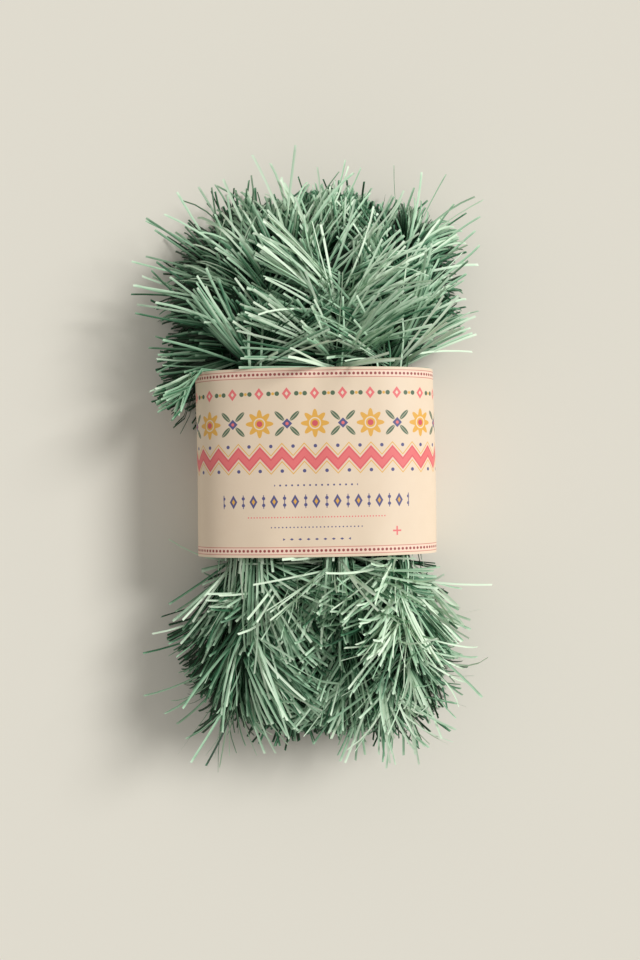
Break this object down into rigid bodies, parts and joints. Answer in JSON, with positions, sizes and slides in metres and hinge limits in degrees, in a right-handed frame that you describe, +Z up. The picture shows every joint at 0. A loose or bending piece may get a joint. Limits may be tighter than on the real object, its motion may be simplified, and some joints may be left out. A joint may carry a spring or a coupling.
{
  "type": "paper fringe garland",
  "caption": "Fringed paper garland on a core cord, folded into a hank and held at its waist by a sliding printed paper band.",
  "frame": {"origin": "centre of the band's flat back, where the garland lies on a table", "axes": "+Y along the hank towards the picture's top, +X to its right, +Z up out of the printed front"},
  "size_m": [0.1864, 0.3193, 0.0884],
  "materials": {
    "fringe_paper": "matte",
    "cord": "matte",
    "band_paper": "satin",
    "adhesive_tape": "satin"
  },
  "bodies": {
    "hank": {"fringe_inner_left_bottom": "fringe_paper", "fringe_inner_left_waist": "fringe_paper", "fringe_inner_left_top": "fringe_paper", "fringe_side_left_bottom": "fringe_paper", "fringe_side_left_waist": "fringe_paper", "fringe_side_left_top": "fringe_paper", "fringe_front_left_bottom": "fringe_paper", "fringe_front_left_waist": "fringe_paper", "fringe_front_left_top": "fringe_paper", "fringe_front_middle_bottom": "fringe_paper", "fringe_front_middle_waist": "fringe_paper", "fringe_front_middle_top": "fringe_paper", "fringe_front_right_bottom": "fringe_paper", "fringe_front_right_waist": "fringe_paper", "fringe_front_right_top": "fringe_paper", "fringe_side_right_bottom": "fringe_paper", "fringe_side_right_waist": "fringe_paper", "fringe_side_right_top": "fringe_paper", "fringe_inner_right_bottom": "fringe_paper", "fringe_inner_right_waist": "fringe_paper", "fringe_inner_right_top": "fringe_paper", "fringe_back_far_right_bottom": "fringe_paper", "fringe_back_far_right_waist": "fringe_paper", "fringe_back_far_right_top": "fringe_paper", "fringe_back_right_bottom": "fringe_paper", "fringe_back_right_waist": "fringe_paper", "fringe_back_right_top": "fringe_paper", "fringe_back_middle_bottom": "fringe_paper", "fringe_back_middle_waist": "fringe_paper", "fringe_back_middle_top": "fringe_paper", "fringe_back_left_bottom": "fringe_paper", "fringe_back_left_waist": "fringe_paper", "fringe_back_left_top": "fringe_paper", "fringe_back_far_left_bottom": "fringe_paper", "fringe_back_far_left_waist": "fringe_paper", "fringe_back_far_left_top": "fringe_paper", "core_cord": "cord", "end_knot_first": "cord", "end_knot_last": "cord", "hanging_loop_first": "cord", "hanging_loop_last": "cord"},
    "band": {"belly_band": "band_paper", "seam_tape": "adhesive_tape"}
  },
  "joints": [
    {"name": "band_slide", "type": "slide", "parent": "hank", "child": "band", "axis": [0, 1, 0], "range_m": [-0.215, 0.215], "deforming": ["fringe_inner_left_bottom", "fringe_inner_left_waist", "fringe_inner_left_top", "fringe_side_left_bottom", "fringe_side_left_waist", "fringe_side_left_top", "fringe_front_left_bottom", "fringe_front_left_waist", "fringe_front_left_top", "fringe_front_middle_bottom", "fringe_front_middle_waist", "fringe_front_middle_top", "fringe_front_right_bottom", "fringe_front_right_waist", "fringe_front_right_top", "fringe_side_right_bottom", "fringe_side_right_waist", "fringe_side_right_top", "fringe_inner_right_bottom", "fringe_inner_right_waist", "fringe_inner_right_top", "fringe_back_far_right_bottom", "fringe_back_far_right_waist", "fringe_back_far_right_top", "fringe_back_right_bottom", "fringe_back_right_waist", "fringe_back_right_top", "fringe_back_middle_bottom", "fringe_back_middle_waist", "fringe_back_middle_top", "fringe_back_left_bottom", "fringe_back_left_waist", "fringe_back_left_top", "fringe_back_far_left_bottom", "fringe_back_far_left_waist", "fringe_back_far_left_top"]}
  ]
}
